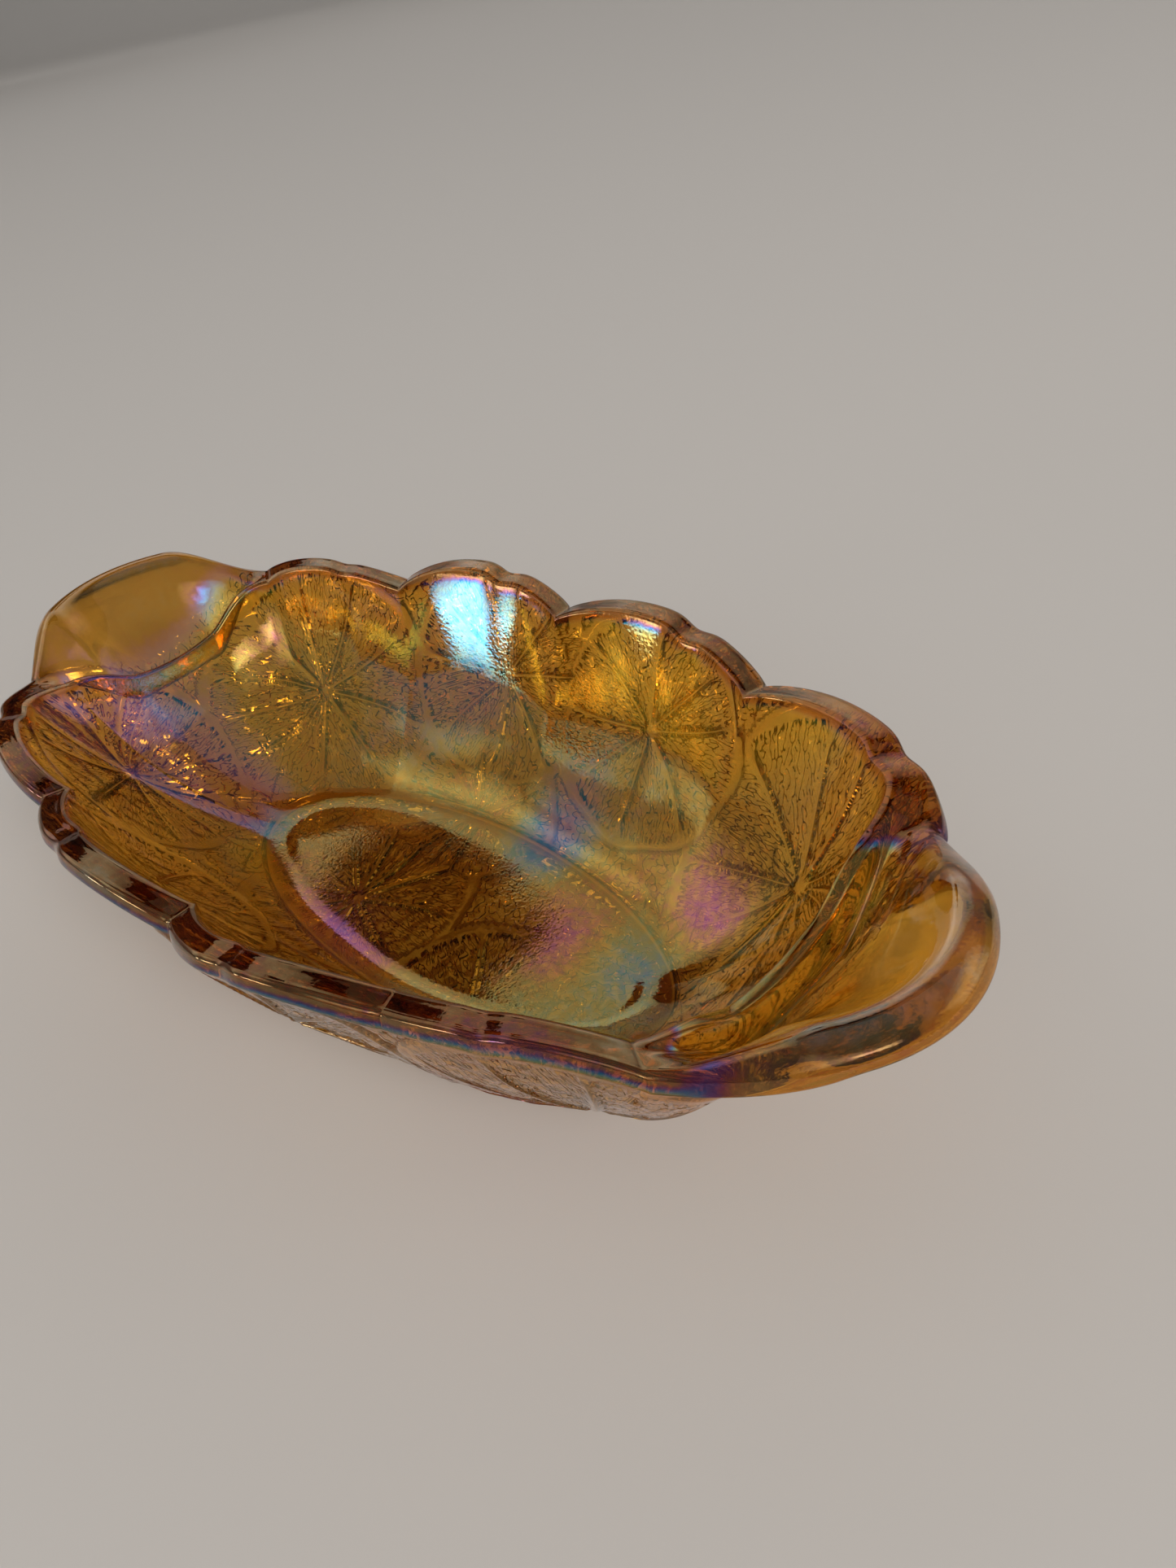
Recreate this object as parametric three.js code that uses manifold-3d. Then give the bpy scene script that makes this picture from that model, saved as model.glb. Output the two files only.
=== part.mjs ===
// An oval pressed-glass relish dish with a leaf-scalloped rim and a closed scoop handle at each end.
// Millimetres. X is the long axis, Y the short one, Z is up, and the dish stands on z = 0.
// The whole dish is one pressing. It is modelled as one closed surface, and flat cuts then divide it
// into the regions that a person would name: the bowl, its foot and its two handles.
import * as THREE from "three";
import { mergeVertices } from "three/addons/utils/BufferGeometryUtils.js";
import Module from "manifold-3d";

const { lerp, clamp, smoothstep, radToDeg } = THREE.MathUtils;

// Driving dimensions
const HALF_LENGTH = 108.5; // middle to the outer edge of a handle
const HALF_WIDTH = 49.7; // middle to the oval on which the rim's notches lie
const NOTCH_HEIGHT = 43; // table to the top of the rim at a notch
const RIM_WIDTH = 5.4; // the rim's flat top face
const RIM_EDGE_DROP = 2.6; // rim top down to its outer edge
const HANDLE_CREST_HEIGHT = 50; // table to the crest of a handle's band
const HANDLE_EDGE_HEIGHT = 46; // table to a handle's outer edge
const BAND_CREST_INSET = 5.6; // a handle's outer edge to the crest of its band
const BAND_WIDTH = 11; // a handle's outer edge to the start of its scoop
const LIP_X = 79.4; // middle to the bowl side of the lip that parts bowl and scoop
const LIP_THICKNESS = 2.4;
const LIP_HEIGHT = 36; // table to the lowest point of the lip
const LIP_RISE = 7.5; // how much higher the lip is where it meets the rim
const LIP_HALF_SPAN = 25; // half of the lip's run from corner to corner
const LIP_CORNER_BLEND = 5; // how softly the lip's line turns into the rim's
const SCOOP_BOTTOM_HEIGHT = 30; // table to the bottom of the scoop, close to the lip
const SCOOP_BOTTOM_GAP = 1.2; // the lip's foot to the bottom of the scoop
const FOOT_HALF_LENGTH = 56;
const FOOT_HALF_WIDTH = 25;
const FOOT_THICKNESS = 2;
const FOOT_BEVEL = 0.8;
const FLOOR_HEIGHT = 6.5; // table to the inside of the bowl's floor
const FLOOR_HALF_LENGTH = 47;
const FLOOR_HALF_WIDTH = 18.5;
const SPINE_HALF_LENGTH = 40; // the middle line on which all the sections end
const HANDLE_CUT_X = 84; // where a handle's region begins
const GLASS_COLOUR = 0xc07a14;

// How round each wall is seen from the side: 1 is a straight flare and 2 a quarter ellipse.
const OUTER_ROUNDNESS = { side: 1.4, end: 1.3 };
const INNER_ROUNDNESS = { side: 1.65, end: 1.6 };

// A handle's outward swell, and how far below the rim every outward swell has mostly died away
const HANDLE_FLARE = 11;
const OUTER_FLARE_DEPTH = 5;
const INNER_FLARE_DEPTH = 12;

// The four leaves along each long side, from the right handle round to the left one. Angles are the
// oval's own parameter in degrees; swell and rise are a leaf's bulge outwards and upwards.
const LEAVES = [
  { from: 35, to: 65.5, swell: 4.8, rise: 3.4 },
  { from: 65.5, to: 92.5, swell: 4.1, rise: 4.3 },
  { from: 92.5, to: 116, swell: 4.5, rise: 4.3 },
  { from: 116, to: 142, swell: 0.4, rise: 3.0 },
];
const LOBE_DIP = { at: 0.4, width: 0.07, depth: 0.18 }; // the small dip that gives a leaf two lobes

// How far the notches lie inside the oval; both long sides repeat this, turned by half a turn.
const NOTCH_INSETS = [
  { at: 0, inset: 0 },
  { at: 20, inset: 0 },
  { at: 35, inset: 0.4 },
  { at: 65.5, inset: -0.8 },
  { at: 92.5, inset: 0.2 },
  { at: 116, inset: 3.0 },
  { at: 142, inset: 3.8 },
  { at: 160, inset: 0 },
  { at: 180, inset: 0 },
];

// The oval's parameter, counted from a handle's tip: all handle up to `whole`, all rim past `none`
const HANDLE_ANGLES = { whole: 17, none: 38 };

// Mesh fineness: sections round the dish, and steps along each stretch of a section
const COLUMNS = 116;
const ROWS = { outer: 8, top: 15, inner: 7 };
const COLUMN_SPREAD = 0.18; // moves columns from the pointed ends to the long sides

const halfTurnAngle = (t) => ((radToDeg(t) % 180) + 180) % 180;

function notchInset(t) {
  const angle = halfTurnAngle(t);
  const next = NOTCH_INSETS.findIndex((notch) => notch.at > angle);
  const a = NOTCH_INSETS[next - 1];
  const b = NOTCH_INSETS[next];
  return lerp(a.inset, b.inset, smoothstep(angle, a.at, b.at));
}

// A leaf's bulge outwards and upwards at one place on the rim; both are zero on a handle.
function leafAt(t) {
  const angle = halfTurnAngle(t);
  const leaf = LEAVES.find((one) => angle >= one.from && angle < one.to);
  if (!leaf) return { swell: 0, rise: 0 };
  const along = (angle - leaf.from) / (leaf.to - leaf.from);
  const dip = LOBE_DIP.depth * Math.exp(-(((along - LOBE_DIP.at) / LOBE_DIP.width) ** 2));
  return {
    swell: leaf.swell * (Math.sin(Math.PI * along) ** 0.7 - dip),
    rise: leaf.rise * (Math.sin(Math.PI * along ** 1.3) ** 0.8 - dip),
  };
}

// How much of a section belongs to a handle: 1 across the scoop and 0 along the leaves.
function handleShare(t) {
  const angle = halfTurnAngle(t);
  return 1 - smoothstep(Math.min(angle, 180 - angle), HANDLE_ANGLES.whole, HANDLE_ANGLES.none);
}

// One upright section of the dish, from a point on its outline to the middle line.
function section(t) {
  const c = Math.cos(t);
  const normalReach = (HALF_LENGTH - HALF_WIDTH ** 2 / HALF_LENGTH) * c;
  const spine = new THREE.Vector2(SPINE_HALF_LENGTH * Math.tanh(normalReach / SPINE_HALF_LENGTH), 0);
  const oval = new THREE.Vector2(HALF_LENGTH * c, HALF_WIDTH * Math.sin(t));
  const inwards = spine.clone().sub(oval).normalize();
  const leaf = leafAt(t);
  const edge = oval.addScaledVector(inwards, notchInset(t) - leaf.swell);
  return {
    edge,
    inwards,
    leaf,
    run: edge.distanceTo(spine),
    handle: handleShare(t),
    end: smoothstep(Math.abs(c), 0.35, 0.95),
  };
}

// Distance from a section's edge, inwards, to the upright plane |x| = reach.
function distanceToX(cut, reach) {
  return (Math.abs(cut.edge.x) - reach) / Math.max(Math.abs(cut.inwards.x), 1e-6);
}

// Distance from a section's edge, inwards, to an ellipse about the middle of the dish.
function distanceToOval(cut, halfLength, halfWidth) {
  const px = cut.edge.x / halfLength;
  const py = cut.edge.y / halfWidth;
  const dx = cut.inwards.x / halfLength;
  const dy = cut.inwards.y / halfWidth;
  const a = dx * dx + dy * dy;
  const b = px * dx + py * dy;
  return (-b - Math.sqrt(b * b - a * (px * px + py * py - 1))) / a;
}

const smoothMax = (a, b, blend) => (a + b + Math.hypot(a - b, blend)) / 2;

// The section from its outer edge, over the rim or the handle's band and scoop, to the bowl's edge,
// as (distance inwards, height).
function topProfile(cut) {
  const rimTop = NOTCH_HEIGHT + cut.leaf.rise;
  const toBowl = smoothMax(RIM_WIDTH, distanceToX(cut, LIP_X), LIP_CORNER_BLEND);
  const toScoopBottom = toBowl - (LIP_THICKNESS + SCOOP_BOTTOM_GAP) * cut.handle;
  const lipSpan = Math.abs(cut.edge.y + cut.inwards.y * toBowl) / LIP_HALF_SPAN;
  const lipTop = LIP_HEIGHT + LIP_RISE * clamp(lipSpan, 0, 1.1) ** 2;
  const scoopSlope = lerp(SCOOP_BOTTOM_HEIGHT, HANDLE_CREST_HEIGHT, 0.42);
  const handle = [
    [0, HANDLE_EDGE_HEIGHT],
    [BAND_CREST_INSET / 4, HANDLE_CREST_HEIGHT - 1.6],
    [BAND_CREST_INSET, HANDLE_CREST_HEIGHT],
    [Math.min(BAND_WIDTH, toScoopBottom * 0.55), HANDLE_CREST_HEIGHT - 4.5],
    [toScoopBottom * 0.72, scoopSlope],
    [toScoopBottom, SCOOP_BOTTOM_HEIGHT],
    [toBowl - LIP_THICKNESS, lipTop - 0.8],
    [toBowl, lipTop],
  ];
  const rim = [
    [0, rimTop - RIM_EDGE_DROP],
    [0.08 * toBowl, rimTop - RIM_EDGE_DROP / 4],
    [0.2 * toBowl, rimTop],
    [0.35 * toBowl, rimTop],
    [0.5 * toBowl, rimTop],
    [0.65 * toBowl, rimTop],
    [0.85 * toBowl, rimTop],
    [toBowl, rimTop - 0.4],
  ];
  const blend = (station, i) => station.map((value, axis) => lerp(rim[i][axis], value, cut.handle));
  return handle.map((station, i) => new THREE.Vector2(...blend(station, i)));
}

// Points down a wall from `start` to `finish`, both (distance inwards, height). The swell makes the
// top of the wall flare outwards, which dies away over `flareDepth`.
function wall(start, finish, roundness, rows, swell, flareDepth) {
  const points = [];
  for (let i = 1; i <= rows; i += 1) {
    const turn = ((i / rows) * Math.PI) / 2;
    const across = 1 - Math.cos(turn) ** (2 / roundness);
    const z = lerp(start.y, finish.y, Math.sin(turn) ** (2 / roundness));
    const flare = swell * Math.exp((z - start.y) / flareDepth);
    points.push(new THREE.Vector2(lerp(start.x + swell, finish.x, across) - flare, z));
  }
  return points;
}

// The whole section, from the middle line underneath, round the edge, to the middle line inside.
function sectionPoints(t) {
  const cut = section(t);
  const { swell } = cut.leaf;
  const outerSwell = swell + HANDLE_FLARE * cut.handle;
  const top = new THREE.SplineCurve(topProfile(cut)).getPoints(ROWS.top);
  const footEdge = new THREE.Vector2(distanceToOval(cut, FOOT_HALF_LENGTH, FOOT_HALF_WIDTH), FOOT_THICKNESS);
  const floorEdge = new THREE.Vector2(distanceToOval(cut, FLOOR_HALF_LENGTH, FLOOR_HALF_WIDTH), FLOOR_HEIGHT);
  const outerRoundness = lerp(OUTER_ROUNDNESS.side, OUTER_ROUNDNESS.end, cut.end);
  const innerRoundness = lerp(INNER_ROUNDNESS.side, INNER_ROUNDNESS.end, cut.end);
  const profile = [
    new THREE.Vector2(cut.run, 0),
    new THREE.Vector2(footEdge.x + FOOT_BEVEL, 0),
    ...wall(top[0], footEdge, outerRoundness, ROWS.outer, outerSwell, OUTER_FLARE_DEPTH).reverse(),
    ...top,
    ...wall(top.at(-1), floorEdge, innerRoundness, ROWS.inner, swell, INNER_FLARE_DEPTH),
    new THREE.Vector2(cut.run, FLOOR_HEIGHT),
  ];
  return profile.map(({ x: across, y: z }) => {
    const plan = cut.edge.clone().addScaledVector(cut.inwards, across);
    return [plan.x, plan.y, z];
  });
}

function columnAngle(k) {
  const even = (k / COLUMNS) * 2 * Math.PI;
  return even + COLUMN_SPREAD * Math.sin(2 * even);
}

// The sections joined into one closed surface. Opposite sections meet on the middle line.
function dishGeometry() {
  const columns = Array.from({ length: COLUMNS }, (_, k) => sectionPoints(columnAngle(k)));
  const rows = columns[0].length;
  const indices = [];
  for (let k = 0; k < COLUMNS; k += 1) {
    for (let row = 0; row + 1 < rows; row += 1) {
      const here = k * rows + row;
      const next = ((k + 1) % COLUMNS) * rows + row;
      indices.push(here, next, here + 1, next, next + 1, here + 1);
    }
  }
  const geometry = new THREE.BufferGeometry();
  geometry.setAttribute("position", new THREE.Float32BufferAttribute(columns.flat(2), 3));
  geometry.setIndex(indices);
  return mergeVertices(geometry, 1e-3);
}

const wasm = await Module();
wasm.setup();

function toSolid(geometry) {
  return new wasm.Manifold(
    new wasm.Mesh({
      numProp: 3,
      vertProperties: new Float32Array(geometry.attributes.position.array),
      triVerts: new Uint32Array(geometry.index.array),
    }),
  );
}

function toGeometry(solid) {
  const mesh = solid.getMesh();
  const geometry = new THREE.BufferGeometry();
  geometry.setAttribute("position", new THREE.Float32BufferAttribute(mesh.vertProperties, 3));
  geometry.setIndex(Array.from(mesh.triVerts));
  return geometry;
}

function boxSolid(low, high) {
  const size = new THREE.Vector3().subVectors(high, low);
  const middle = new THREE.Vector3().addVectors(high, low).multiplyScalar(0.5);
  const box = new THREE.BoxGeometry(size.x, size.y, size.z);
  box.translate(middle.x, middle.y, middle.z);
  box.deleteAttribute("normal");
  box.deleteAttribute("uv");
  return toSolid(mergeVertices(box));
}

const FAR = 200; // beyond the dish on every side
const dish = toSolid(dishGeometry());
const rightSpace = boxSolid(new THREE.Vector3(HANDLE_CUT_X, -FAR, -FAR), new THREE.Vector3(FAR, FAR, FAR));
const leftSpace = boxSolid(new THREE.Vector3(-FAR, -FAR, -FAR), new THREE.Vector3(-HANDLE_CUT_X, FAR, FAR));
const footSpace = boxSolid(new THREE.Vector3(-FAR, -FAR, -FAR), new THREE.Vector3(FAR, FAR, FOOT_THICKNESS));

const regions = {
  bowl: dish.subtract(rightSpace).subtract(leftSpace).subtract(footSpace),
  foot: dish.intersect(footSpace),
  handle_right: dish.intersect(rightSpace),
  handle_left: dish.intersect(leftSpace),
};

const glass = new THREE.MeshStandardMaterial({
  color: GLASS_COLOUR,
  roughness: 0.08,
  metalness: 0,
  transparent: true,
  opacity: 0.6,
});

const part = new THREE.Group();
for (const [name, solid] of Object.entries(regions)) {
  const mesh = new THREE.Mesh(toGeometry(solid), glass.clone());
  mesh.name = name;
  part.add(mesh);
}

export default part;
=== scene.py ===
"""An oval relish dish in amber carnival glass, with leaf relief outside and a scoop handle at each end.

Metres, +Z up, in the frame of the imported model. Shapes are worked out in millimetres and scaled at the end.
"""
import math

import bpy
import numpy as np
from mathutils import Matrix, Vector


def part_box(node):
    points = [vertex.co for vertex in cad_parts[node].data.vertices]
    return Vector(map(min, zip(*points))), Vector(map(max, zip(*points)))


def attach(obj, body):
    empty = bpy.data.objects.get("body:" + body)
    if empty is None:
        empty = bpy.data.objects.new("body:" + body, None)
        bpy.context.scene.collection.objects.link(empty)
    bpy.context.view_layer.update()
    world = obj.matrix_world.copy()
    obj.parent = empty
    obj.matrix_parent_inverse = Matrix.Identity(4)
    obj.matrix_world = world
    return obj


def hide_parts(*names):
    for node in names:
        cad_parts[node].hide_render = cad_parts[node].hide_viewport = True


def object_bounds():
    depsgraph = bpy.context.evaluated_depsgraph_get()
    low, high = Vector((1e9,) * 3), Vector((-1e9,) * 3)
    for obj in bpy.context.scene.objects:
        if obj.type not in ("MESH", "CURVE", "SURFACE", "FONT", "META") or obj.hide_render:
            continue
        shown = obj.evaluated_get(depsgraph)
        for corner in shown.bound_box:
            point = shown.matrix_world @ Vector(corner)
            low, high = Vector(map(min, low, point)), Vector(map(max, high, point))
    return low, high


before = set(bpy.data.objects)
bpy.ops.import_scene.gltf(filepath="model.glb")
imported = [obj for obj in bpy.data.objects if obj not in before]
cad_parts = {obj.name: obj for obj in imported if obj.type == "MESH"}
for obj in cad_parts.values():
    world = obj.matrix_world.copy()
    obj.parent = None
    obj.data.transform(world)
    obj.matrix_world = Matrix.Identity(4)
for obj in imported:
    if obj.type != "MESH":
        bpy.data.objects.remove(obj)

MM = 0.001
cad_low, cad_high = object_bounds()

# Driving dimensions, in millimetres
HALF_LENGTH = cad_high.x / MM
HALF_WIDTH = 49.7
NOTCH_HEIGHT = 43.0
RIM_WIDTH = 5.4
RIM_EDGE_DROP = 2.6
HANDLE_CREST_HEIGHT = 50.0
HANDLE_EDGE_HEIGHT = 46.0
BAND_CREST_INSET = 5.6
BAND_WIDTH = 11.0
LIP_X = 79.4
LIP_THICKNESS = 2.4
LIP_HEIGHT = 36.0
LIP_RISE = 7.5
LIP_HALF_SPAN = 25.0
LIP_CORNER_BLEND = 5.0
SCOOP_BOTTOM_HEIGHT = 30.0
SCOOP_BOTTOM_GAP = 1.2
FOOT_HALF_LENGTH = 56.0
FOOT_HALF_WIDTH = 25.0
FOOT_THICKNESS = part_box("foot")[1].z / MM
FOOT_BEVEL = 0.8
FLOOR_HEIGHT = 6.5
FLOOR_HALF_LENGTH = 47.0
FLOOR_HALF_WIDTH = 18.5
SPINE_HALF_LENGTH = 40.0
OUTER_ROUNDNESS = {"side": 1.4, "end": 1.3}
INNER_ROUNDNESS = {"side": 1.65, "end": 1.6}
OUTER_FLARE_DEPTH = 5.0
HANDLE_FLARE = 11.0
INNER_FLARE_DEPTH = 12.0
HANDLE_ANGLES = {"whole": 17.0, "none": 38.0}

# Leaves along one long side: from, to (degrees of the oval's parameter), swell outwards, rise upwards
LEAVES = [(35, 65.5, 4.8, 3.4), (65.5, 92.5, 4.1, 4.3), (92.5, 116, 4.5, 4.3), (116, 142, 0.4, 3.0)]
LOBE_DIP = {"at": 0.4, "width": 0.07, "depth": 0.18}
# How far the notches lie inside the oval, as (degrees, inset)
NOTCH_INSETS = [
    (0, 0), (20, 0), (35, 0.4), (65.5, -0.8), (92.5, 0.2), (116, 3.0), (142, 3.8), (160, 0), (180, 0),
]

# Leaf relief outside
LEAF_EDGE = 0.7
LEAF_MARGIN = 2.2
LEAF_DROOP = 0.5
VEIN_WIDTH = 0.9
VEIN_BEND = 0.14
VEIN_HEIGHT = 0.5
STIPPLE_HEIGHT = 0.12
STROKE_LENGTH = 2.0
STROKE_WIDTH = 0.75
UNDER_SINK = 1.4
WALL_SINK = 0.5
WAVES = 28
FLOOR_SAG = 1.8
SAG_SPREAD = 1.5
WAVE_HEIGHT = 0.045

# Directions of each leaf's veins in degrees, as seen from outside: 0 is level to the right and 90 is up
END_VEINS = (25, 65, 92, 130, 152, 166, 215, 245, 272, 300, 335)
MIDDLE_VEINS = (40, 85, 130, 165, 222, 275, 315, 350)
NEXT_VEINS = (0, 35, 76, 125, 170, 232, 268, 318)
BROAD_VEINS = (10, 40, 72, 112, 150, 190, 230, 268, 305, 338)

# Leaves on the walls: centre, radius, height, veins
WALL_LEAVES = [
    ((64.0, 27.0, 20.0), 31, 0.9, END_VEINS),
    ((19.5, 44.0, 25.0), 24.5, 1.3, MIDDLE_VEINS),
    ((-20.0, 43.5, 25.5), 25, 1.1, NEXT_VEINS),
    ((-63.5, 23.0, 18.5), 30, 0.8, BROAD_VEINS),
    ((-72.0, -21.5, 22.0), 26, 0.9, END_VEINS),
    ((-28.0, -42.5, 25.0), 25, 1.3, MIDDLE_VEINS),
    ((20.0, -43.5, 25.5), 25, 1.1, NEXT_VEINS),
    ((63.5, -23.0, 18.5), 30, 0.8, BROAD_VEINS),
]
FLOOR_LEAVES = [
    ((-16.5, 22.5, 1.5), 22, 0.75, BROAD_VEINS),
    ((-19.0, -8.4, 0.0), 25, 0.7, END_VEINS),
    ((22.0, -14.0, 0.0), 20, 0.8, NEXT_VEINS),
]
# Rings of petals on the floor: centre, petal length, height, petals, spin
FLOWERS = [
    ((-46.0, -2.0, 0.0), 20, 1.0, 9, 0),
    ((-46.0, -2.0, 0.0), 13, 1.25, 8, 20),
    ((38.0, 6.0, 0.0), 21, 1.0, 9, 10),
    ((38.0, 6.0, 0.0), 13.5, 1.25, 8, 30),
]

# Patches of the film inside the bowl: x, y, radius, change of thickness in nanometres
FILM_SPOTS = [
    (-42, 36, 16, -48),
    (-23, 41, 11, -44),
    (-76, -22, 24, -80),
    (22, 4, 11, 34),
    (-11, -20, 15, 34),
    (50, 21, 9, 34),
    (-57, -8, 9, -66),
    (8, 24, 8, -60),
    (43, 7, 8, -34),
]

PLAIN_FILM = {"inside": 235, "handle": 116, "band": 88, "rim": 118, "outside": 112}  # nanometres
PLAIN_AND_SHADED_TINTS = ((0.84, 0.46, 0.07), (0.4, 0.09, 0.02))  # the glass's own amber, and a dark red-brown painted shade for the rim and the left handle
GLASS_COLOUR = (0.92, 0.69, 0.0)
GLASS_DENSITY = 120
PAPER_COLOUR = (0.6, 0.55, 0.5)
FILM_SPECKLE = 20  # nanometres either way
# Share of the rim's painted shade that darkens the left handle
PAINTED_SHADE_ON_LEFT_HANDLE = 0.25

# The camera: side, height and roll in degrees, distance and aim in millimetres
CAMERA_SIDE = 50
CAMERA_HEIGHT = 37.2
CAMERA_ROLL = -11.4
CAMERA_DISTANCE = 215.5
CAMERA_AIM = (19.0, 24.5, 25.0)
LENS = 27.05

# Soft panels: name, azimuth, elevation, (width, height) in degrees, radiance
SOFTBOX_DISTANCE = 3.2
SOFTBOX_LAYERS = (0.5, 0.75, 1.0, 1.25, 1.5)
SOFTBOXES = [
    ("back", -118, 44, (92, 25), 0.48),
    ("back_left", -150, 24, (40, 20), 0.45),
    ("back_low", -122, 26, (14, 12), 0.5),
    ("back_right", -72, 26, (26, 16), 0.6),
    ("side", 134, 20, (24, 26), 0.8),
    ("front_right", 40, 30, (40, 22), 1.1),
    ("window", 72, 26, (20, 9), 4),
    ("front_low", -22, 8.5, (14, 6.5), 7),
    ("front_small", -40, 5, (6, 6), 7),
    ("front_line", -27, 31, (8, 9), 0.4),
    ("front_middle", -52, 16, (16, 4), 0.6),
    ("front_high", -55, 48, (22, 14), 0.9),
]
KEY = ("key", 72, 36, (20, 15), 19)  # lights the paper only

# Round black cards, seen only in reflections: azimuth, elevation, (width, height) in degrees
CARD_DISTANCE = 2.8
CARDS = [(-120.3, 40, (8.4, 8)), (-104, 20, (16, 30)), (-125, 64, (40, 10))]

COLUMN_SPACING = 0.62  # along the outline
ROWS = {"under": 26, "foot": 4, "outer": 104, "top": 46, "inner": 36, "floor": 24}


def lerp(a, b, share):
    return a + (b - a) * share


def smoothstep(value, low, high):
    x = np.clip((value - low) / (high - low), 0, 1)
    return x * x * (3 - 2 * x)


def half_turn_angle(t):
    return np.degrees(t) % 180


def notch_inset(angle):
    inset = np.zeros_like(angle)
    for (a, low), (b, high) in zip(NOTCH_INSETS, NOTCH_INSETS[1:]):
        inside = (angle >= a) & (angle < b)
        inset[inside] = lerp(low, high, smoothstep(angle[inside], a, b))
    return inset


def leaf_bulge(angle):
    """How far a leaf swells outwards and rises upwards at each place on the outline."""
    swell, rise = np.zeros_like(angle), np.zeros_like(angle)
    for start, stop, out, up in LEAVES:
        inside = (angle >= start) & (angle < stop)
        along = (angle[inside] - start) / (stop - start)
        dip = LOBE_DIP["depth"] * np.exp(-(((along - LOBE_DIP["at"]) / LOBE_DIP["width"]) ** 2))
        swell[inside] = out * (np.sin(np.pi * along) ** 0.7 - dip)
        rise[inside] = up * (np.sin(np.pi * along**1.3) ** 0.8 - dip)
    return swell, rise


def column_angles():
    """The outline's parameter at each column, evenly spaced between the notches, which all have a column."""
    whole = round(HANDLE_ANGLES["whole"])
    stops = [0, whole] + [leaf[0] for leaf in LEAVES] + [LEAVES[-1][1], 180 - whole, 180]
    angles = []
    for turn in (0, 180):
        for a, b in zip(stops, stops[1:]):
            middle = math.radians((a + b) / 2)
            pace = math.hypot(HALF_LENGTH * math.sin(middle), HALF_WIDTH * math.cos(middle))
            count = max(6, round(math.radians(b - a) * pace / COLUMN_SPACING))
            angles.append(np.linspace(a, b, count, endpoint=False) + turn)
    return np.radians(np.concatenate(angles))


class Sections:
    """Upright sections of the dish, one for each column, from its outline to the middle line."""

    def __init__(self, t):
        angle = half_turn_angle(t)
        c, s = np.cos(t), np.sin(t)
        normal_reach = (HALF_LENGTH - HALF_WIDTH**2 / HALF_LENGTH) * c
        spine = np.stack([SPINE_HALF_LENGTH * np.tanh(normal_reach / SPINE_HALF_LENGTH), np.zeros_like(t)], 1)
        oval = np.stack([HALF_LENGTH * c, HALF_WIDTH * s], 1)
        inwards = spine - oval
        self.inwards = inwards / np.linalg.norm(inwards, axis=1, keepdims=True)
        self.swell, self.rise = leaf_bulge(angle)
        self.edge = oval + self.inwards * (notch_inset(angle) - self.swell)[:, None]
        self.run = np.linalg.norm(spine - self.edge, axis=1)
        from_end = np.minimum(angle, 180 - angle)
        self.handle = 1 - smoothstep(from_end, HANDLE_ANGLES["whole"], HANDLE_ANGLES["none"])
        self.end = smoothstep(np.abs(c), 0.35, 0.95)

    def to_x(self, reach):
        return (np.abs(self.edge[:, 0]) - reach) / np.maximum(np.abs(self.inwards[:, 0]), 1e-6)

    def to_oval(self, half_length, half_width):
        size = np.array([half_length, half_width])
        p, d = self.edge / size, self.inwards / size
        a, b = (d * d).sum(1), (p * d).sum(1)
        return (-b - np.sqrt(b * b - a * ((p * p).sum(1) - 1))) / a


def smooth_max(a, b, blend):
    return (a + b + np.hypot(a - b, blend)) / 2


def top_profile(cut, rows):
    """Each section from its outer edge over the rim, or a handle's band and scoop, to the bowl's edge."""
    ones = np.ones_like(cut.run)
    rim_top = NOTCH_HEIGHT + cut.rise
    to_bowl = smooth_max(RIM_WIDTH, cut.to_x(LIP_X), LIP_CORNER_BLEND)
    to_scoop = to_bowl - (LIP_THICKNESS + SCOOP_BOTTOM_GAP) * cut.handle
    lip_span = np.abs(cut.edge[:, 1] + cut.inwards[:, 1] * to_bowl) / LIP_HALF_SPAN
    lip_top = LIP_HEIGHT + LIP_RISE * np.clip(lip_span, 0, 1.1) ** 2
    scoop_slope = lerp(SCOOP_BOTTOM_HEIGHT, HANDLE_CREST_HEIGHT, 0.42)
    handle = [
        (0 * ones, HANDLE_EDGE_HEIGHT * ones),
        (BAND_CREST_INSET / 4 * ones, (HANDLE_CREST_HEIGHT - 1.6) * ones),
        (BAND_CREST_INSET * ones, HANDLE_CREST_HEIGHT * ones),
        (np.minimum(BAND_WIDTH, to_scoop * 0.55), (HANDLE_CREST_HEIGHT - 4.5) * ones),
        (to_scoop * 0.72, scoop_slope * ones),
        (to_scoop, SCOOP_BOTTOM_HEIGHT * ones),
        (to_bowl - LIP_THICKNESS, lip_top - 0.8),
        (to_bowl, lip_top),
    ]
    shares = [0, 0.08, 0.2, 0.35, 0.5, 0.65, 0.85, 1]
    drops = [RIM_EDGE_DROP, RIM_EDGE_DROP / 4, 0, 0, 0, 0, 0, 0.4]
    rim = [(share * to_bowl, rim_top - drop) for share, drop in zip(shares, drops)]
    stations = np.array([[lerp(r, h, cut.handle) for r, h in zip(*pair)] for pair in zip(rim, handle)])
    return spline(stations, rows)


def spline(stations, rows):
    """Points on the smooth curve through the stations, as (row, axis, column)."""
    last = len(stations) - 1
    points = []
    for place in np.linspace(0, last, rows + 1):
        i = min(int(place), last - 1)
        f = place - i
        p0, p1, p2, p3 = (stations[min(max(j, 0), last)] for j in (i - 1, i, i + 1, i + 2))
        v0, v1 = (p2 - p0) / 2, (p3 - p1) / 2
        cubic, square = 2 * p1 - 2 * p2 + v0 + v1, -3 * p1 + 3 * p2 - 2 * v0 - v1
        points.append(cubic * f**3 + square * f**2 + v0 * f + p1)
    return np.array(points)


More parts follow.
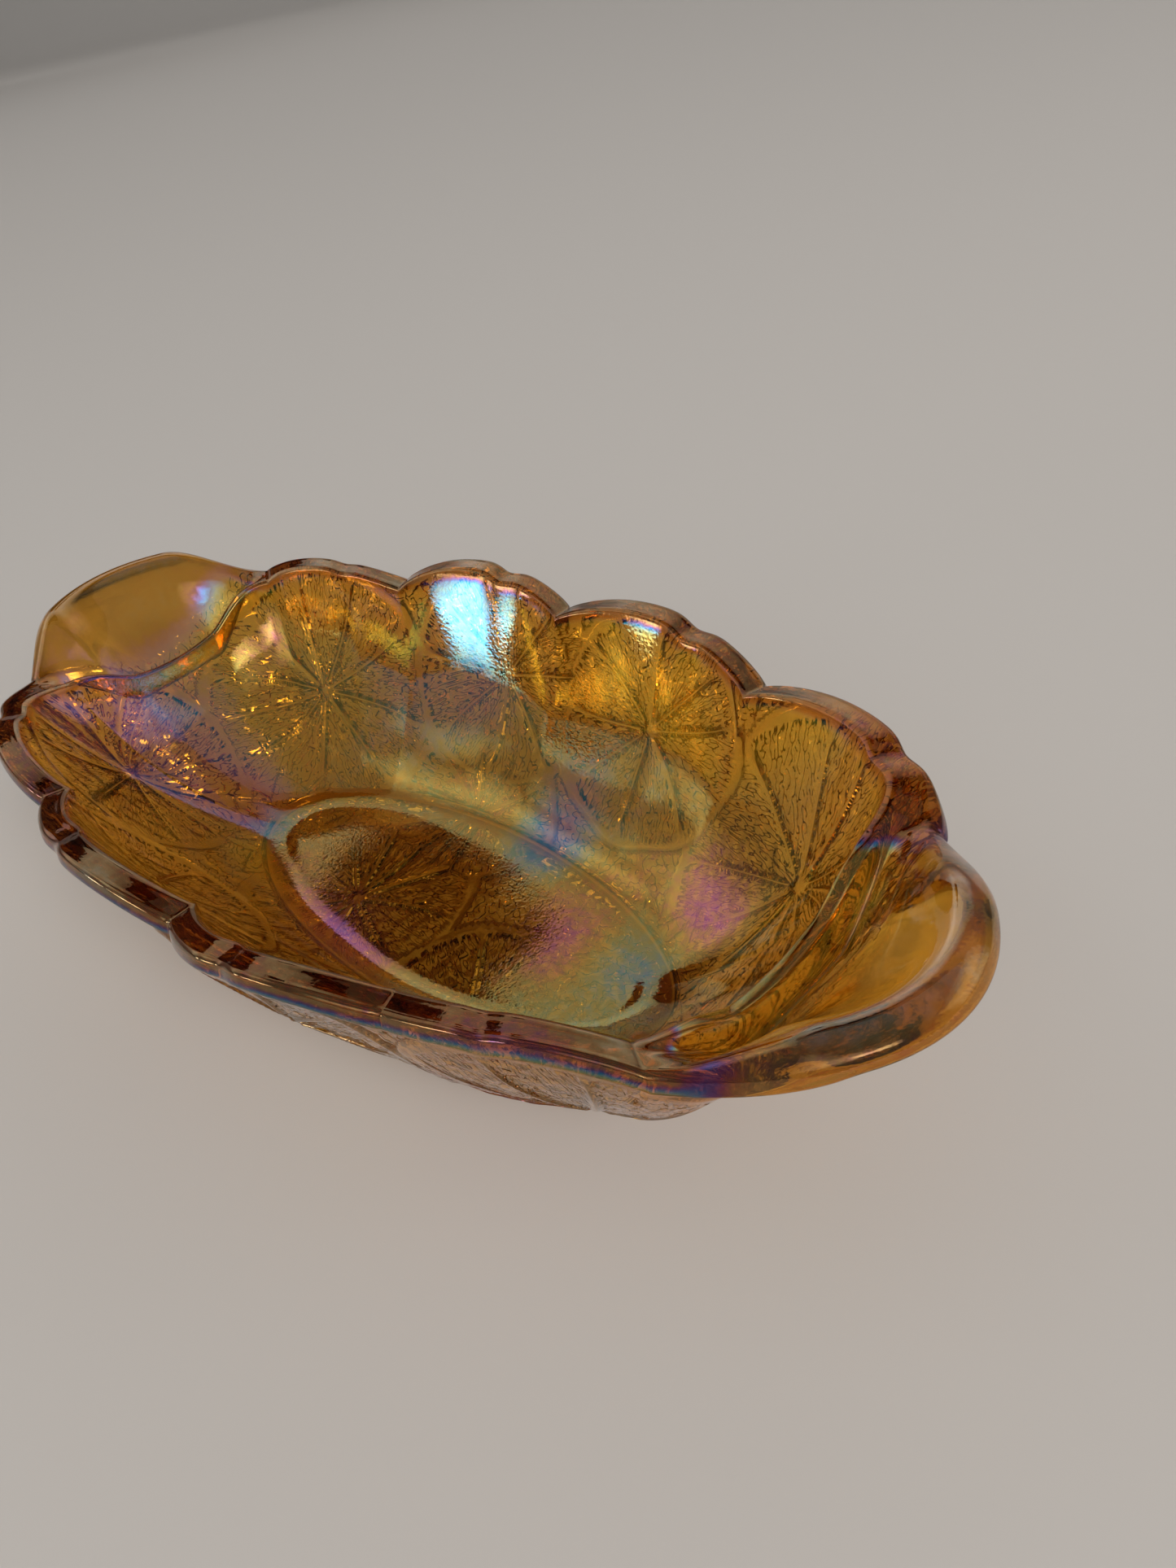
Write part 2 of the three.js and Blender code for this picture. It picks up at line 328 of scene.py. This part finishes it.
def wall(start, finish, roundness, rows, swell, flare_depth):
    """Each section down a wall from start to finish, flaring outwards at the top by the leaf's swell."""
    points = []
    for turn in np.linspace(0, np.pi / 2, rows + 1)[1:]:
        across = 1 - np.cos(turn) ** (2 / roundness) if turn < np.pi / 2 else 1.0
        z = lerp(start[1], finish[1], np.sin(turn) ** (2 / roundness))
        flare = swell * np.exp((z - start[1]) / flare_depth)
        points.append([lerp(start[0] + swell, finish[0], across) - flare, z])
    return np.array(points)


def dish_grid(cut):
    """All sections as one grid of points, (row, column, xyz), with the name of the stretch of each row."""
    ones = np.ones_like(cut.run)
    top = top_profile(cut, ROWS["top"])
    foot_edge = np.array([cut.to_oval(FOOT_HALF_LENGTH, FOOT_HALF_WIDTH), FOOT_THICKNESS * ones])
    floor_edge = np.array([cut.to_oval(FLOOR_HALF_LENGTH, FLOOR_HALF_WIDTH), FLOOR_HEIGHT * ones])
    outer_roundness = lerp(OUTER_ROUNDNESS["side"], OUTER_ROUNDNESS["end"], cut.end)
    inner_roundness = lerp(INNER_ROUNDNESS["side"], INNER_ROUNDNESS["end"], cut.end)
    foot_start = np.array([foot_edge[0] + FOOT_BEVEL, 0 * ones])
    middle_under = np.array([cut.run, 0 * ones])
    middle_floor = np.array([cut.run, FLOOR_HEIGHT * ones])
    outer_flare = cut.swell + HANDLE_FLARE * cut.handle
    outer = wall(top[0], foot_edge, outer_roundness, ROWS["outer"], outer_flare, OUTER_FLARE_DEPTH)[::-1]
    inner = wall(top[-1], floor_edge, inner_roundness, ROWS["inner"], cut.swell, INNER_FLARE_DEPTH)
    stretches = {
        "under": [lerp(middle_under, foot_start, i / ROWS["under"]) for i in range(ROWS["under"])],
        "foot": [lerp(foot_start, foot_edge, i / ROWS["foot"]) for i in range(ROWS["foot"])],
        "outer": outer,
        "top": top,
        "inner": inner,
        "floor": [lerp(floor_edge, middle_floor, i / ROWS["floor"]) for i in range(1, ROWS["floor"] + 1)],
    }
    profile = np.concatenate([np.array(points) for points in stretches.values()])
    names = np.concatenate([[name] * len(points) for name, points in stretches.items()])
    plan = cut.edge[None] + cut.inwards[None] * profile[:, 0, :, None]
    return np.concatenate([plan, profile[:, 1, :, None]], 2), names


def grid_normals(grid):
    """Outward unit normals of the closed grid."""
    along = np.roll(grid, -1, 1) - np.roll(grid, 1, 1)
    up = np.gradient(grid, axis=0)
    normal = np.cross(along, up)
    return normal / np.maximum(np.linalg.norm(normal, axis=2, keepdims=True), 1e-9)


def soften(grid, names, joint, passes):
    """Rounds the corner where one stretch of the section meets the next."""
    corner = np.flatnonzero(names == joint)[0]
    reach = passes + 1
    for _ in range(passes):
        part = grid[corner - reach:corner + reach + 1]
        grid[corner - reach + 1:corner + reach] = (part[:-2] + 2 * part[1:-1] + part[2:]) / 4


def waves(points, size, seed):
    """Smooth random relief between about -1 and 1 with bumps of the given size, the same on every run."""
    random = np.random.default_rng(seed)
    total = np.zeros(points.shape[:-1])
    for _ in range(WAVES):
        direction = random.normal(size=3)
        direction *= 2 * np.pi / (size * np.linalg.norm(direction) * random.uniform(1.4, 2.8))
        total += np.sin(points @ direction + random.uniform(0, 2 * np.pi))
    return total / math.sqrt(WAVES / 2) / 1.6


def local_polar(points, centre, normal):
    """Distance and direction of each point from a motif's centre, in the surface's own plane there."""
    level = np.cross((0, 0, 1), normal)
    level = np.array((1.0, 0, 0)) if np.linalg.norm(level) < 0.2 else level / np.linalg.norm(level)
    slope = np.cross(normal, level)
    away = points - centre
    return np.linalg.norm(away, axis=2), np.arctan2(away @ slope, away @ level)


def leaf_relief(points, centre, normal, radius, level, veins):
    """A round leaf: height, stipple, the stipple's directions, and veins as (distance across, strength)."""
    r, angle = local_polar(points, centre, normal)
    bent = (angle + VEIN_BEND * np.sin(3 * angle + 9 * level) * (r / radius) ** 2) % (2 * np.pi)
    inside = smoothstep(radius * (1 + 0.02 * np.cos(8 * angle)) - r, 0, LEAF_EDGE)
    directions = np.radians(veins)
    away = (bent[..., None] - directions + np.pi) % (2 * np.pi) - np.pi
    nearest = np.abs(away).argmin(2)
    across = np.take_along_axis(away, nearest[..., None], 2)[..., 0] * r
    taper = smoothstep(radius - LEAF_MARGIN - r, 0, 0.35 * radius) * smoothstep(r, 0.5, 2.5)
    strength = taper * (0.75 + 0.25 * np.cos(2.4 * nearest))
    vein = VEIN_HEIGHT * strength * np.exp(-((across / VEIN_WIDTH) ** 2))
    height = inside * (level - LEAF_DROOP * (r / radius) ** 2) + vein
    stipple = smoothstep(radius - LEAF_MARGIN - r, 0, 1.5) * smoothstep(np.abs(across), 0.8, 1.4)
    sector = np.searchsorted(directions, bent) % len(veins)
    middles = directions - (directions - np.roll(directions, 1)) % (2 * np.pi) / 2
    off = bent - middles[sector]
    strokes = [r * np.cos(off) / STROKE_LENGTH, r * np.sin(off) / STROKE_WIDTH, sector * 9 + level * 50]
    veining = [across, strength * (inside > 0), np.zeros_like(r)]
    return np.where(inside > 0, height, 0), stipple, np.stack(strokes, 2), np.stack(veining, 2)


def flower_relief(points, centre, normal, length, level, petals, spin):
    """One ring of pointed petals, each with a raised edge."""
    r, angle = local_polar(points, centre, normal)
    turn = (angle - math.radians(spin)) * petals / (2 * np.pi)
    between = np.abs(turn - np.round(turn)) * 2 * np.pi / petals
    share = np.clip(r / length, 0, 1)
    half = 0.52 * length * np.sin(np.pi * share**0.9) * (2 / petals) ** 0.35
    depth = np.where(r < length, half - np.abs(np.sin(between)) * r, -1)
    inside = smoothstep(depth, 0, LEAF_EDGE)
    crease = 0.35 * np.exp(-((np.sin(between) * r / 0.6) ** 2)) * smoothstep(share, 0.15, 0.4)
    height = inside * (level * (0.55 + 0.45 * np.exp(-((depth - 0.8) / 0.8) ** 2)) + crease)
    return np.where(inside > 0, height, 0), 0.25 * inside, points / 1.4, np.zeros(points.shape)


def add_relief(grid, names):
    """Presses leaves, veins and flowers into the outside. Gives the stipple, its directions and the veins."""
    rows = np.isin(names, ["under", "foot", "outer"])
    points, normals = grid[rows], grid_normals(grid)[rows]
    height = np.zeros(points.shape[:2])
    stipple = 0.6 * smoothstep(np.abs(points[..., 0]), 92, 86)
    strokes = points / 1.4
    veining = np.zeros(points.shape)
    motifs = [(leaf_relief, motif) for motif in WALL_LEAVES + FLOOR_LEAVES]
    motifs += [(flower_relief, motif) for motif in FLOWERS]
    for relief, (centre, *shape) in motifs:
        centre = np.array(centre, float)
        nearest = np.argmin(((points - centre) ** 2).sum(2))
        normal = normals.reshape(-1, 3)[nearest]
        middle = points.reshape(-1, 3)[nearest]
        own, own_stipple, own_strokes, own_veining = relief(points, middle, normal, *shape)
        higher = own > height
        height = np.where(higher, own, height)
        stipple = np.where(higher, own_stipple, stipple)
        strokes = np.where(higher[..., None], own_strokes, strokes)
        veining = np.where(higher[..., None], own_veining, veining)
    under = (names[rows] == "under")[:, None]
    along = np.linspace(0, 1, under.sum())
    fade = np.ones(len(points))
    fade[names[rows] == "under"] = smoothstep(along, 1, 0.75)
    fade[names[rows] == "foot"] = 0
    wall_rows = np.flatnonzero(names[rows] == "outer")
    share = np.linspace(0, 1, len(wall_rows))
    fade[wall_rows] = smoothstep(share, 0, 0.06) * smoothstep(share, 1, 0.93)
    pits = stipple * STIPPLE_HEIGHT * waves(points, 1.5, 7)
    sunk = np.where(under, UNDER_SINK, WALL_SINK)
    grid[rows] += normals * ((height - sunk + pits) * fade[:, None])[..., None]
    grid[..., 2] = np.maximum(grid[..., 2], 0)
    surface = {"stipple": np.zeros(grid.shape[:2]), "strokes": grid / 1.4, "veins": np.zeros(grid.shape)}
    surface["stipple"][rows] = stipple * fade[:, None]
    surface["strokes"][rows] = strokes
    surface["veins"][rows] = veining * fade[:, None, None]
    return surface


def dish_floor(grid, names):
    """Sinks the middle of the floor a little and gives the inside the faint waves of pressed glass."""
    rows = np.isin(names, ["top", "inner", "floor"])
    x, y, _ = np.moveaxis(grid[rows], 2, 0)
    out = np.hypot(x / FLOOR_HALF_LENGTH, y / FLOOR_HALF_WIDTH)
    waviness = WAVE_HEIGHT * waves(grid[rows], 13, 11)
    share = np.linspace(0, 1, rows.sum())
    grid[rows] += grid_normals(grid)[rows] * (waviness * smoothstep(share, 0, 0.25)[:, None])[..., None]
    grid[rows, :, 2] -= FLOOR_SAG * np.exp(-((out / SAG_SPREAD) ** 2))


def film_spot(grid, x, y, radius, change):
    """A soft round patch on which the film is thicker or thinner."""
    return change * np.exp(-((grid[..., 0] - x) ** 2 + (grid[..., 1] - y) ** 2) / radius**2)


def film_thickness(grid, names):
    """The film's thickness in nanometres, and how much painted shade darkens the glass's colour, which is 1
    on the rim.
    """
    x, _, z = np.moveaxis(grid, 2, 0)
    film = PLAIN_FILM["inside"] + 12 * waves(grid, 30, 3) + 6 * waves(grid, 8, 4)
    for spot in FILM_SPOTS:
        film += film_spot(grid, *spot)
    on_handle = smoothstep(np.abs(x), 84, 92)
    handle_film = lerp(PLAIN_FILM["handle"], PLAIN_FILM["band"], smoothstep(z, 47.5, 49.8))
    film = lerp(film, handle_film + 8 * waves(grid, 14, 5), on_handle)
    crest = grid[names == "top", :, 2].max(0)
    on_rim = smoothstep(z - crest, -3.2, -0.8) * (1 - on_handle)
    film = lerp(film, PLAIN_FILM["rim"] + 14 * waves(grid, 10, 6), on_rim)
    outside = np.isin(names, ["under", "foot", "outer"])
    film[outside] = PLAIN_FILM["outside"] + 16 * waves(grid[outside], 20, 8)
    # Painted shade: a darker base colour on the rim, and a little of it on the left handle
    painted_shade = np.maximum(on_rim, PAINTED_SHADE_ON_LEFT_HANDLE * on_handle * (x < 0))
    return film, painted_shade


def mesh_object(name, grid, attributes, material):
    """A closed smooth mesh from a grid of points whose first and last rows close on the middle line."""
    rows, columns = grid.shape[:2]
    row, column = np.meshgrid(np.arange(rows - 1), np.arange(columns), indexing="ij")
    here = row * columns + column
    after = row * columns + (column + 1) % columns
    quads = np.stack([here, after, after + columns, here + columns], 2).reshape(-1, 4)
    mesh = bpy.data.meshes.new(name)
    mesh.from_pydata((grid.reshape(-1, 3) * MM).tolist(), [], quads.tolist())
    for label, values in attributes.items():
        kind = "FLOAT_VECTOR" if values.ndim == 3 else "FLOAT"
        layer = mesh.attributes.new(label, kind, "POINT")
        layer.data.foreach_set("vector" if values.ndim == 3 else "value", values.astype(np.float32).ravel())
    mesh.materials.append(material)
    mesh.polygons.foreach_set("use_smooth", np.ones(len(quads), bool))
    piece = bpy.data.objects.new(name, mesh)
    bpy.context.scene.collection.objects.link(piece)
    return piece


def glass_material():
    material = bpy.data.materials.new("iridescent_glass")
    material.use_nodes = True
    nodes, links = material.node_tree.nodes, material.node_tree.links
    shader = nodes["Principled BSDF"]
    shader.inputs["Roughness"].default_value = 0.05
    shader.inputs["IOR"].default_value = 1.52
    shader.inputs["Transmission Weight"].default_value = 1
    shader.inputs["Thin Film IOR"].default_value = 2.0

    def attribute(name, output):
        node = nodes.new("ShaderNodeAttribute")
        node.attribute_name = name
        return node.outputs[output]

    def noise(vector, scale, detail):
        node = nodes.new("ShaderNodeTexNoise")
        node.inputs["Scale"].default_value = scale
        node.inputs["Detail"].default_value = detail
        links.new(vector, node.inputs["Vector"])
        return node.outputs["Fac"]

    def math_node(operation, *values):
        node = nodes.new("ShaderNodeMath")
        node.operation = operation
        for socket, value in zip(node.inputs, values):
            if isinstance(value, (int, float)):
                socket.default_value = value
            else:
                links.new(value, socket)
        return node.outputs[0]

    def bump(height, distance, under=None):
        node = nodes.new("ShaderNodeBump")
        node.inputs["Distance"].default_value = distance
        links.new(height, node.inputs["Height"])
        if under:
            links.new(under, node.inputs["Normal"])
        return node.outputs["Normal"]

    # Base colour: the glass's own amber, turning to a painted shade of dark red-brown on the rim and part of
    # the left handle
    tint = nodes.new("ShaderNodeMix")
    tint.data_type = "RGBA"
    links.new(attribute("painted_shade", "Fac"), tint.inputs["Factor"])
    light, shaded_tint = (socket for socket in tint.inputs if socket.type == "RGBA")
    light.default_value, shaded_tint.default_value = ((*colour, 1) for colour in PLAIN_AND_SHADED_TINTS)
    links.new(next(socket for socket in tint.outputs if socket.type == "RGBA"), shader.inputs["Base Color"])
    place = nodes.new("ShaderNodeTexCoord").outputs["Object"]
    speckle = math_node("MULTIPLY_ADD", noise(place, 600, 2), 2 * FILM_SPECKLE, -FILM_SPECKLE)
    links.new(math_node("ADD", attribute("film", "Fac"), speckle), shader.inputs["Thin Film Thickness"])
    stroke = nodes.new("ShaderNodeMapRange")
    stroke.interpolation_type = "SMOOTHSTEP"
    stroke.inputs["From Min"].default_value = 0.47
    stroke.inputs["From Max"].default_value = 0.57
    links.new(noise(attribute("strokes", "Vector"), 1, 0), stroke.inputs["Value"])
    pits = math_node("MULTIPLY", stroke.outputs["Result"], attribute("stipple", "Fac"))
    vein = nodes.new("ShaderNodeSeparateXYZ")
    links.new(attribute("veins", "Vector"), vein.inputs["Vector"])
    narrow = math_node("DIVIDE", vein.outputs["X"], 0.65)
    ridge = math_node("EXPONENT", math_node("MULTIPLY", math_node("MULTIPLY", narrow, narrow), -1))
    ridge = math_node("MULTIPLY", ridge, vein.outputs["Y"])
    skin = bump(noise(place, 1600, 1), 0.00001)
    pitted = bump(pits, -0.001, skin)
    links.new(bump(ridge, 0.001, pitted), shader.inputs["Normal"])
    absorb = nodes.new("ShaderNodeVolumeAbsorption")
    absorb.inputs["Color"].default_value = (*GLASS_COLOUR, 1)
    absorb.inputs["Density"].default_value = GLASS_DENSITY
    links.new(absorb.outputs["Volume"], nodes["Material Output"].inputs["Volume"])
    return material


def plain_material(name, colour, roughness):
    material = bpy.data.materials.new(name)
    material.use_nodes = True
    shader = material.node_tree.nodes["Principled BSDF"]
    shader.inputs["Base Color"].default_value = (*colour, 1)
    shader.inputs["Roughness"].default_value = roughness
    return material


def add_floor():
    """A pale paper sweep: flat under the dish, rising into a wall well behind it, square to the camera."""
    reach, back, bend, height, steps = 24.0, 4.6, 1.2, 16.0, 12
    turns = [i / steps * math.pi / 2 for i in range(steps + 1)]
    line = [(-reach, 0.0)]
    line += [(back - bend + bend * math.sin(turn), bend - bend * math.cos(turn)) for turn in turns]
    line += [(back, height)]
    points = [(x, y, z - 0.0001) for y, z in line for x in (-reach, reach)]
    faces = [(2 * i, 2 * i + 1, 2 * i + 3, 2 * i + 2) for i in range(len(line) - 1)]
    mesh = bpy.data.meshes.new("floor")
    mesh.from_pydata(points, [], faces)
    mesh.polygons.foreach_set("use_smooth", [True] * len(faces))
    mesh.materials.append(plain_material("paper", PAPER_COLOUR, 0.9))
    floor = bpy.data.objects.new("floor", mesh)
    bpy.context.scene.collection.objects.link(floor)
    floor.rotation_euler.z = math.radians(CAMERA_SIDE)


def direction_towards(azimuth, elevation):
    """Azimuth 0 is in front of the dish and 90 at its right end."""
    a, e = math.radians(azimuth), math.radians(elevation)
    return Vector((math.sin(a) * math.cos(e), -math.cos(a) * math.cos(e), math.sin(e)))


def softbox(name, azimuth, elevation, size, radiance, in_reflections=True):
    """A soft panel that faces the dish, in layers of growing size, so that its edges are soft too."""
    towards = direction_towards(azimuth, elevation)
    for layer, share in enumerate(SOFTBOX_LAYERS):
        distance = SOFTBOX_DISTANCE + 0.01 * layer
        width, height = (2 * share * distance * math.tan(math.radians(angle / 2)) for angle in size)
        light = bpy.data.lights.new(f"{name}_{layer}", "AREA")
        light.shape = "RECTANGLE"
        light.size, light.size_y = width, height
        light.energy = radiance / len(SOFTBOX_LAYERS) * math.pi * width * height
        lamp = bpy.data.objects.new(light.name, light)
        lamp.location = towards * distance
        lamp.rotation_euler = towards.to_track_quat("Z", "Y").to_euler()
        lamp.visible_camera = False
        lamp.visible_glossy = in_reflections
        bpy.context.scene.collection.objects.link(lamp)


def black_card(azimuth, elevation, size):
    """A round black card that darkens one direction in the glass's reflections."""
    towards = direction_towards(azimuth, elevation)
    x, y = (CARD_DISTANCE * math.tan(math.radians(angle / 2)) for angle in size)
    mesh = bpy.data.meshes.new("card")
    turns = [i / 32 * 2 * math.pi for i in range(32)]
    mesh.from_pydata([(x * math.cos(turn), y * math.sin(turn), 0) for turn in turns], [], [range(32)])
    mesh.materials.append(plain_material("card", (0.01, 0.01, 0.01), 1.0))
    card = bpy.data.objects.new("card", mesh)
    card.location = towards * CARD_DISTANCE
    card.rotation_euler = towards.to_track_quat("Z", "Y").to_euler()
    card.visible_camera = False
    bpy.context.scene.collection.objects.link(card)


def add_camera():
    """The camera looks down at the dish from beyond its right end, a little rolled."""
    aim, distance = Vector(CAMERA_AIM) * MM, CAMERA_DISTANCE * MM
    back = direction_towards(CAMERA_SIDE, CAMERA_HEIGHT)
    data = bpy.data.cameras.new("camera")
    data.lens = LENS
    data.clip_start = 0.01
    camera = bpy.data.objects.new("camera", data)
    camera.matrix_world = (
        Matrix.Translation(aim + back * distance)
        @ (-back).to_track_quat("-Z", "Y").to_matrix().to_4x4()
        @ Matrix.Rotation(math.radians(CAMERA_ROLL), 4, "Z")
    )
    bpy.context.scene.collection.objects.link(camera)
    bpy.context.scene.camera = camera


add_camera()
add_floor()
world = bpy.data.worlds.new("studio")
bpy.context.scene.world = world
world.use_nodes = True
world.node_tree.nodes["Background"].inputs["Color"].default_value = (0.86, 0.93, 1, 1)
world.node_tree.nodes["Background"].inputs["Strength"].default_value = 0.25
for softbox_values in SOFTBOXES:
    softbox(*softbox_values)
softbox(*KEY, in_reflections=False)
for card_values in CARDS:
    black_card(*card_values)
bpy.context.scene.view_settings.view_transform = "Standard"

cut = Sections(column_angles())
grid, names = dish_grid(cut)
soften(grid, names, "top", 5)
soften(grid, names, "inner", 2)
soften(grid, names, "floor", 22)
dish_floor(grid, names)
surface = add_relief(grid, names)
surface["film"], surface["painted_shade"] = film_thickness(grid, names)
dish = mesh_object("dish", grid, surface, glass_material())
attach(dish, "root")
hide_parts("bowl", "foot", "handle_right", "handle_left")
